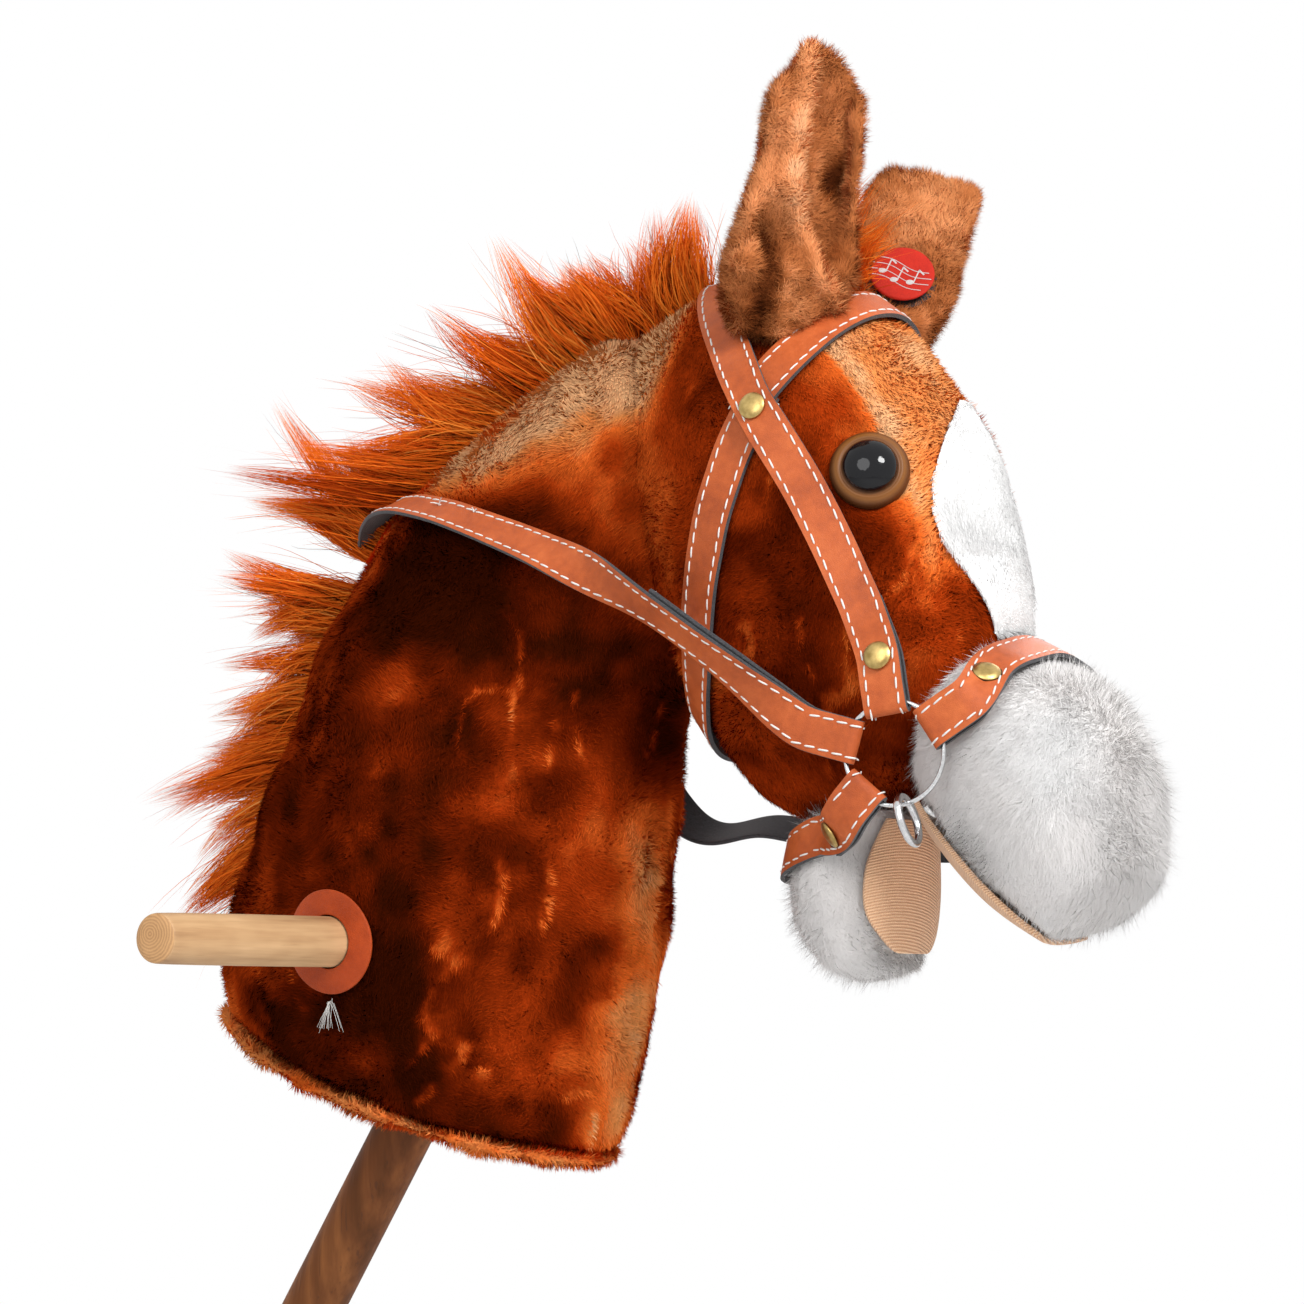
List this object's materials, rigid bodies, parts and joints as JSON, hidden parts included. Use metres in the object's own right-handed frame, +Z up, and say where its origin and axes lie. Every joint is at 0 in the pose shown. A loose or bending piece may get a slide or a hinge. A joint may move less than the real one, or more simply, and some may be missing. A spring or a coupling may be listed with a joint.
{
  "type": "plush hobby horse on a wooden pole",
  "caption": "Stuffed plush horse head and neck on a tilted wooden pole with a cross handle, bridle of stitched straps, open mouth, and a sound button in one ear.",
  "frame": {"origin": "centre of the pole's lower end, at the flat bottom of its rubber cap", "axes": "+X to the front of the horse, +Y to the horse's left, +Z up with the pole leaning forward by 32 degrees as in the picture"},
  "size_m": [0.6536, 0.332, 0.901],
  "materials": {
    "chrome": "nickel plated wire",
    "white_plush": "short white plush pile",
    "leatherette": "stitched reddish brown imitation leather with felt backing",
    "cell_steel": "nickel plated cell can",
    "red_felt": "red felt with a printed pattern of small notes",
    "board_green": "green lacquered board",
    "tan_plush": "short tan plush pile",
    "eye_plastic": "dark brown gloss",
    "natural_plastic": "uncoloured",
    "mane_pile": "long orange pile",
    "pale_wood": "turned pale beech, sanded",
    "vinyl": "smooth reddish brown vinyl patch",
    "steel": "zinc plated",
    "brown_plush": "short crushed plush pile",
    "mouth_lining": "fine ribbed tan fabric",
    "pole_wood": "turned beech, stained brown, satin",
    "rubber": "matte black",
    "brass": "satin",
    "unit_plastic": "black moulded"
  },
  "bodies": {
    "horse": {"blaze_panel": "white_plush", "browband": "leatherette", "button_cell_1": "cell_steel", "button_cell_2": "cell_steel", "button_cell_3": "cell_steel", "chin_strap": "leatherette", "circuit_board": "board_green", "crown_strap": "leatherette", "ear_left": "tan_plush", "ear_right": "tan_plush", "eye_left": "eye_plastic", "eye_right": "eye_plastic", "eye_washer_left": "natural_plastic", "eye_washer_right": "natural_plastic", "forelock": "mane_pile", "handle_dowel": "pale_wood", "handle_patch_left": "vinyl", "handle_patch_right": "vinyl", "handle_screw": "steel", "head": "brown_plush", "lower_jaw": "white_plush", "lower_mouth_lining": "mouth_lining", "mane_lower": "mane_pile", "mane_upper": "mane_pile", "neck": "brown_plush", "neck_base_panel": "brown_plush", "noseband": "leatherette", "pole": "pole_wood", "pole_end_cap": "rubber", "rein_strap": "leatherette", "rivet_brow_left": "brass", "rivet_brow_right": "brass", "rivet_cheek_left": "brass", "rivet_cheek_right": "brass", "rivet_chin_left": "brass", "rivet_chin_right": "brass", "rivet_nose_left": "brass", "rivet_nose_right": "brass", "sound_housing_base": "unit_plastic", "sound_housing_cover": "unit_plastic", "speaker": "steel", "tact_switch": "unit_plastic", "throatlatch": "leatherette", "upper_mouth_lining": "mouth_lining", "upper_muzzle": "white_plush"},
    "cheek_ring_right": {"cheek_ring_right": "chrome"},
    "bit_ring_right": {"bit_ring_right": "chrome"},
    "cheek_ring_left": {"cheek_ring_left": "chrome"},
    "bit_ring_left": {"bit_ring_left": "chrome"},
    "sound_button": {"sound_button": "natural_plastic", "button_patch": "red_felt"}
  },
  "joints": [
    {"name": "cheek_ring_right_spin", "type": "hinge", "parent": "horse", "child": "cheek_ring_right", "pos_m": [0.56401, -0.0571, 0.62191], "axis": [0.1736, -0.9848, 0], "continuous": true},
    {"name": "bit_ring_right_swing", "type": "hinge", "parent": "horse", "child": "bit_ring_right", "pos_m": [0.56922, -0.05618, 0.60345], "axis": [-0.9467, -0.1669, -0.2756], "range_deg": [-90, 90]},
    {"name": "cheek_ring_left_spin", "type": "hinge", "parent": "horse", "child": "cheek_ring_left", "pos_m": [0.56401, 0.0571, 0.62191], "axis": [0.1736, 0.9848, 0], "continuous": true},
    {"name": "bit_ring_left_swing", "type": "hinge", "parent": "horse", "child": "bit_ring_left", "pos_m": [0.56922, 0.05618, 0.60345], "axis": [-0.9467, 0.1669, -0.2756], "range_deg": [-90, 90]},
    {"name": "sound_button_press", "type": "slide", "parent": "horse", "child": "sound_button", "axis": [-0.4717, 0.7693, -0.4308], "range_m": [0, 0.0015], "stiffness_N_per_m": 400, "springref_m": -0.0015}
  ]
}
